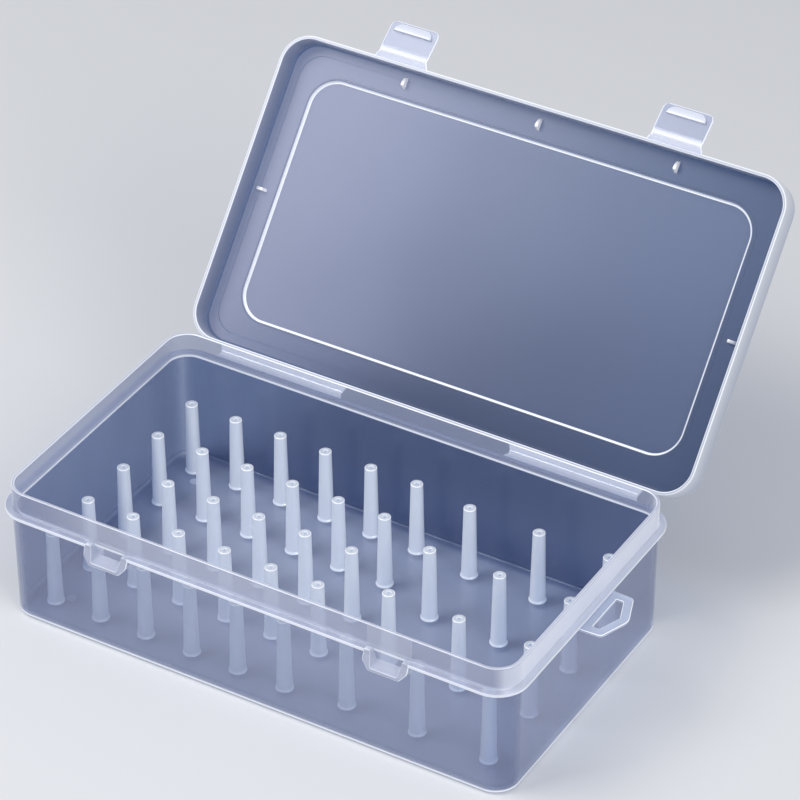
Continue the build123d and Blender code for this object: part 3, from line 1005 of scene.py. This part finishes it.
@dataclass
class Latches:
    """The two latches: a shelf on the lid's front edge and the flap that swings on it."""

    lid: Lid
    offset: float = 61.5
    film: tuple[float, float] = (-68.4, 50.9)
    open_angle: float = 105.0
    flap_length: float = 13.0
    flap_thickness: float = 1.2
    flap_face: float = 0.25
    corner: float = 2.7
    half_width: float = 11.0
    pad_half_width: float = 8.6
    pad_top: float = -8.35
    pad_end: float = -12.1
    pad_height: float = 1.2
    pad_tip: float = 0.4

    def opened(self, points: Array) -> Array:
        """Swing points of the shut lid open with it."""
        return turned(points, self.lid.hinge, -self.lid.open_angle)

    def swung(self, points: Array) -> Array:
        """Swing points of the shut latch open, and then with the lid."""
        return self.opened(turned(points, self.film, -self.open_angle))

    def arm(self, side: Side) -> bpy.types.Object:
        """Shelf, film and flap as one strap, from the skirt's edge to the rounded free end.

        Near the free end, at s from the film, the half width is
        W - r + sqrt(r^2 - (s - L + r)^2). The shelf's rows start with the distances from the
        film, and the last of them is the film. The arm is attached to no body.
        """
        shelf = np.array([(3.6, 0.4, 12.1, 1.3, 0.1), (2.0, 0.4, 11.5, 1.3, 0.1),
                          (1.25, 0.4, 11.1, 1.25, 0.15), (0.9, 0.1, 10.9, 0.6, 0.5),
                          (0.0, 0.0, 10.9, 0.4, 0.9)])
        shelf[:, :2] += self.film
        r, length, thick = self.corner, self.flap_length, self.flap_thickness
        down = np.concatenate([[0.75, 1.0, 1.3, 2.0, 6.0, length - r],
                               length - r + r * np.sin(np.linspace(0.12, 1.38, 9))])
        wide = self.half_width - r + np.sqrt(r * r - np.clip(down - (length - r), 0, None) ** 2)
        y = np.full(len(down), self.film[0] + self.flap_face - thick / 2)
        # Whiteness: painted highlights at the film and round the free end.
        white = np.interp(down, [0.6, 1.0, 1.3, length - 0.7, length - 0.3], [0.9, 0.5, 0, 0, 1])
        thin = np.interp(down, [0.6, 1.2, length - 0.4, length], [0.5, thick, thick, thick / 2])
        flap = np.stack([y, self.film[1] - down, wide, thin, white], axis=1)
        shelf[:, :2] = self.opened(shelf[:, :2])
        flap[:, :2] = self.swung(flap[:, :2])
        rows = np.concatenate([sampled(np.concatenate([shelf, flap[:4]]), 24), flap[4:]])
        piece = strap(f"latch_arm_{side.word}", rows, side.value * self.offset)
        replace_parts(piece, f"latch_shelf_{side.word}", f"latch_flap_{side.word}")
        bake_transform(piece)
        return piece

    def pad(self, side: Side) -> bpy.types.Object:
        """The ramped D on the flap's inner face: a rounded plate whose height falls to its end.

        The height is tip + (height - tip) (z - end) / (top - end), drawn shut and swung open.
        """
        w, top, end = self.pad_half_width, self.pad_top, self.pad_end
        turn = np.array([0, *np.linspace(0.3, np.pi / 2, 9)])
        r = top - end
        right = np.stack([w - r + r * np.cos(turn), top - r * np.sin(turn)], axis=1)[::-1]
        left = (right * [-1, 1])[::-1]
        outline = np.concatenate([right, [(w - 1.2, top), (1.2 - w, top)], left])
        share = (outline[:, 1] - end) / (top - end)
        lift = self.pad_tip + (self.pad_height - self.pad_tip) * share
        # Whiteness: painted highlights along the plate's edges, a little brighter towards its
        # straight top edge.
        rows = np.array([(0.0, -0.15, 0.4), (0.0, 0.55, 0.6), (0.06, 0.8, 0.9), (0.2, 0.95, 0.9),
                         (0.4, 1.0, 0.9), (0.8, 1.0, 0.9)])
        x, down, out = np.moveaxis(plate(outline, rows[:, :2], lift), -1, 0)
        y, z = self.film[0] + self.flap_face + out, self.film[1] + down
        rings = self.swung(np.stack([x + side.value * self.offset, y, z], axis=-1))
        return surface(f"latch_pad_{side.word}", rings, rows[:, 2:] * (0.8 + 0.2 * share))

    def build(self, palette: Palette) -> None:
        """Make and dress the arms and the pads."""
        for side, body in ((Side.LEFT, Body.LATCH_LEFT), (Side.RIGHT, Body.LATCH_RIGHT)):
            palette.dress(self.arm(side), None, Slot.LATCH, "latch")
            palette.dress(self.pad(side), body, Slot.LATCH, "latch")


# -------- the studio


@dataclass
class Studio:
    """The pale floor, the soft lamps, the world and the camera."""

    target: Point = (-0.05125, 0.13568, 0.0008)
    azimuth: float = 30.60
    elevation: float = 35.64
    distance: float = 1.7562
    lens: float = 189.74
    lamp_aim: Point = (0.0, 0.05, 0.05)
    world_level: float = 0.5
    world_shade: Colour = (0.93, 0.95, 1.0)
    floor_half: float = 12.0
    floor_shade: Colour = (0.62, 0.63, 0.65)

    def camera(self) -> None:
        """Stand the camera where the photograph was taken from."""
        az, el = math.radians(self.azimuth), math.radians(self.elevation)
        back = Vector((math.sin(az) * math.cos(el), -math.cos(az) * math.cos(el), math.sin(el)))
        data = bpy.data.cameras.new("camera")
        data.lens = self.lens
        data.sensor_width = 36.0
        data.clip_end = 50.0
        camera = placed("camera", data)
        camera.location = Vector(self.target) + back * self.distance
        camera.rotation_euler = (-back).to_track_quat("-Z", "Y").to_euler()
        bpy.context.scene.camera = camera

    def lamp(self, name: str, place: Point, size: float, power: float) -> None:
        """Add a square soft lamp at a place and of a side in metres, with a power in watts."""
        data = bpy.data.lights.new(name, "AREA")
        data.shape = "SQUARE"
        data.size = size
        data.energy = power
        lamp = placed(name, data)
        lamp.location = place
        aim = Vector(self.lamp_aim) - Vector(place)
        lamp.rotation_euler = aim.to_track_quat("-Z", "Y").to_euler()

    def floor(self) -> None:
        """Lay the matt pale floor, with the faintest mottling."""
        g = Graph("pale_floor")
        place = g.add("TexCoord").outputs["Object"]
        noise = g.add("TexNoise", Vector=place, Scale=3.0, Detail=2.0).outputs["Fac"]
        colour = g.blend(noise, tuple(0.985 * part for part in self.floor_shade), self.floor_shade)
        half = self.floor_half
        mesh = bpy.data.meshes.new("floor")
        corners = [(-half, -half, 0), (half, -half, 0), (half, half, 0), (-half, half, 0)]
        mesh.from_pydata(corners, [], [(0, 1, 2, 3)])
        shader = g.add("BsdfPrincipled", Base_Color=colour, Roughness=0.9).outputs[0]
        mesh.materials.append(g.finish(shader))
        floor = placed("floor", mesh)

    def build(self) -> None:
        """Make the floor, the lamps, the world and the camera."""
        self.floor()
        world = bpy.data.worlds.new("studio")
        world.use_nodes = True
        sky = world.node_tree.nodes["Background"]
        sky.inputs["Color"].default_value = (*self.world_shade, 1.0)
        sky.inputs["Strength"].default_value = self.world_level
        bpy.context.scene.world = world
        self.lamp("key", (-0.7, -0.6, 1.35), 0.8, 17.0)
        self.lamp("fill", (1.2, -0.5, 0.9), 0.9, 12.0)
        self.camera()
        settings = bpy.context.scene
        settings.view_settings.view_transform = "Standard"
        settings.cycles.transparent_max_bounces = 48
        settings.cycles.max_bounces = 10


def main() -> None:
    """Build the studio and the box, piece by piece."""
    logging.basicConfig(level=logging.INFO, format="%(name)s: %(message)s")
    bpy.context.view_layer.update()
    palette = Palette()
    Studio().build()
    Tray().build(palette)
    Pegs().build(palette)
    lid = Lid()
    lid.build(palette)
    Latches(lid).build(palette)


if __name__ == "__main__":
    main()
